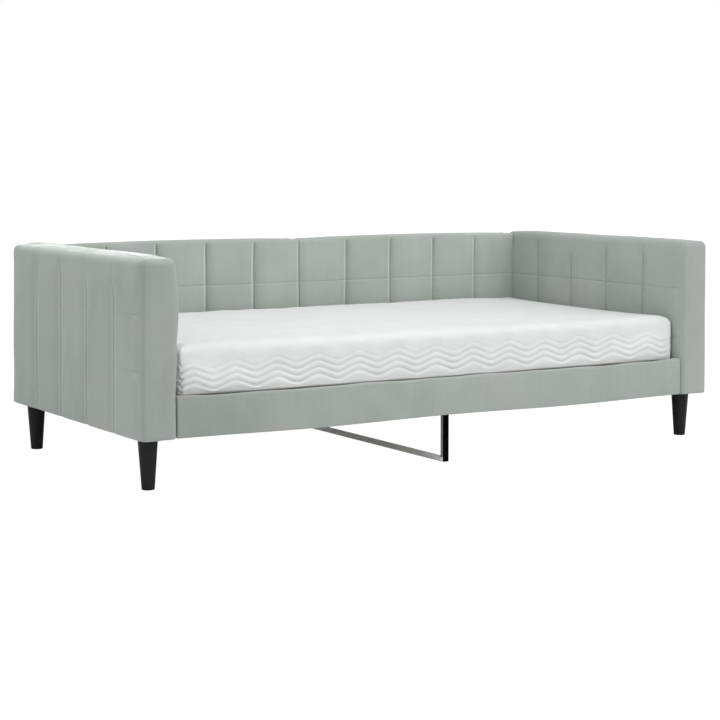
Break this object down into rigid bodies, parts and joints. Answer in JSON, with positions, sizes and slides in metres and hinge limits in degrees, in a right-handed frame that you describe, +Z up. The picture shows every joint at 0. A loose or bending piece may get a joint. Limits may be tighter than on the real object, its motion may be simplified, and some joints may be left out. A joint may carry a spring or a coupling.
{
  "type": "daybed",
  "caption": "Upholstered daybed with arms and back of equal height in grid-quilted velvet, tapered legs, a middle support and a loose quilted mattress on sprung slats.",
  "frame": {"origin": "on the floor, under the middle of the bed", "axes": "+X along the bed's length to the right end, +Y from the open front to the back, +Z up"},
  "size_m": [2.28, 1.1, 0.72],
  "materials": {
    "velvet": "matte",
    "mattress_ticking": "matte",
    "foam": "matte",
    "dust_cloth": "matte",
    "timber": "matte",
    "fibreboard": "matte",
    "plywood": "satin",
    "black_wood": "satin",
    "black_steel": "satin",
    "zinc_steel": "satin",
    "black_plastic": "matte"
  },
  "bodies": {
    "bed": {"back_left_ledger": "timber", "back_left_leg": "black_wood", "back_right_ledger": "timber", "back_right_leg": "black_wood", "back_slat_holders": "black_plastic", "corner_brackets": "black_steel", "dust_cloths": "dust_cloth", "fixing_strips": "plywood", "front_left_ledger": "timber", "front_left_leg": "black_wood", "front_rail_board": "fibreboard", "front_rail_cover": "velvet", "front_rail_foam": "foam", "front_right_ledger": "timber", "front_right_leg": "black_wood", "front_slat_holders": "black_plastic", "insert_nuts": "zinc_steel", "joint_bolts": "zinc_steel", "ledger_screws": "zinc_steel", "left_arm_cover": "velvet", "left_arm_foam": "foam", "left_arm_frame": "timber", "left_arm_inner_board": "fibreboard", "left_arm_outer_board": "fibreboard", "left_back_cover": "velvet", "left_back_foam": "foam", "left_back_frame": "timber", "left_back_front_board": "fibreboard", "left_back_rear_board": "fibreboard", "leg_hanger_bolts": "zinc_steel", "right_arm_cover": "velvet", "right_arm_foam": "foam", "right_arm_frame": "timber", "right_arm_inner_board": "fibreboard", "right_arm_outer_board": "fibreboard", "right_back_cover": "velvet", "right_back_foam": "foam", "right_back_frame": "timber", "right_back_front_board": "fibreboard", "right_back_rear_board": "fibreboard", "slat_01": "plywood", "slat_02": "plywood", "slat_03": "plywood", "slat_04": "plywood", "slat_05": "plywood", "slat_06": "plywood", "slat_07": "plywood", "slat_08": "plywood", "slat_09": "plywood", "slat_10": "plywood", "slat_11": "plywood", "slat_12": "plywood", "support_back_plate": "black_steel", "support_back_post": "black_steel", "support_foot_bar": "black_steel", "support_front_post": "black_steel"},
    "mattress": {"mattress_base": "mattress_ticking", "mattress_core": "foam", "mattress_cover": "mattress_ticking"}
  },
  "joints": [
    {"name": "mattress_lift", "type": "slide", "parent": "bed", "child": "mattress", "axis": [0, 0, 1], "range_m": [0, 0.5]}
  ]
}
